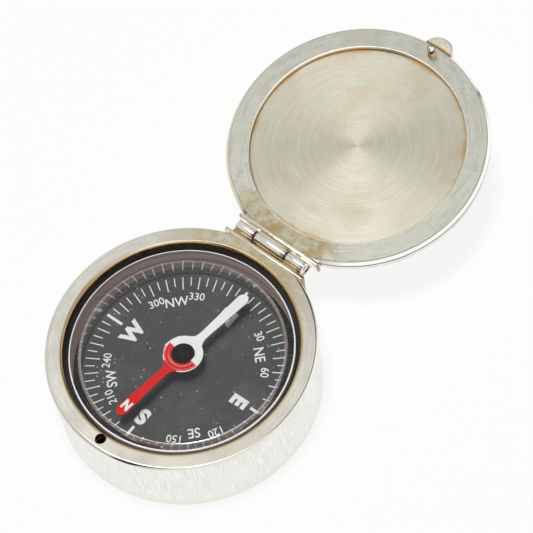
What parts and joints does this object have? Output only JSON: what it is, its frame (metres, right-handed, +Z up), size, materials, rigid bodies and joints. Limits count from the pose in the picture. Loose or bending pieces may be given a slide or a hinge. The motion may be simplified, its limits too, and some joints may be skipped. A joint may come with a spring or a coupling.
{
  "type": "pocket compass",
  "caption": "Round metal pocket compass with a hinged lid laid open, a clear capsule, a printed dial and a pivoted two-colour needle.",
  "frame": {"origin": "middle of the underside of the case, on the surface it rests on", "axes": "+Z up through the dial, +Y towards the hinge and dial north, +X dial east"},
  "size_m": [0.038, 0.0792, 0.0176],
  "materials": {
    "brushed_silver": "brushed",
    "polished_silver": "polished",
    "packing_cork": "matte",
    "black_plastic": "gloss",
    "gasket_rubber": "matte",
    "clear_acrylic": "clear",
    "printed_dial": "satin print",
    "pin_steel": "polished",
    "turned_brass": "satin",
    "needle_paint": "satin",
    "jewel_glass": "polished"
  },
  "bodies": {
    "case": {"case_side": "brushed_silver", "base_plate": "brushed_silver", "bezel_ring": "polished_silver", "packing_disc": "packing_cork", "capsule_sleeve": "black_plastic", "capsule_base": "black_plastic", "capsule_gasket": "gasket_rubber", "capsule_window": "clear_acrylic", "dial_plate": "printed_dial", "filler_plug": "pin_steel", "pivot_bush": "turned_brass", "pivot_post": "pin_steel", "catch_socket": "polished_silver", "catch_spring": "turned_brass", "case_hinge_leaf": "polished_silver", "hinge_pin": "pin_steel"},
    "needle": {"needle_blade": "needle_paint", "needle_cap": "black_plastic", "pivot_jewel": "jewel_glass"},
    "lid": {"lid_shell": "polished_silver", "lid_ring": "polished_silver", "lid_inner_plate": "brushed_silver", "lid_hinge_leaf": "polished_silver", "thumb_tab": "polished_silver", "catch_pin": "polished_silver", "catch_collar": "turned_brass"}
  },
  "joints": [
    {"name": "lid_hinge", "type": "hinge", "parent": "case", "child": "lid", "pos_m": [0, 0.01975, 0.01115], "axis": [1, 0, 0], "range_deg": [0, 173]},
    {"name": "needle_spin", "type": "hinge", "parent": "case", "child": "needle", "pos_m": [0, 0, 0.0078], "axis": [0, 0, 1], "continuous": true}
  ]
}
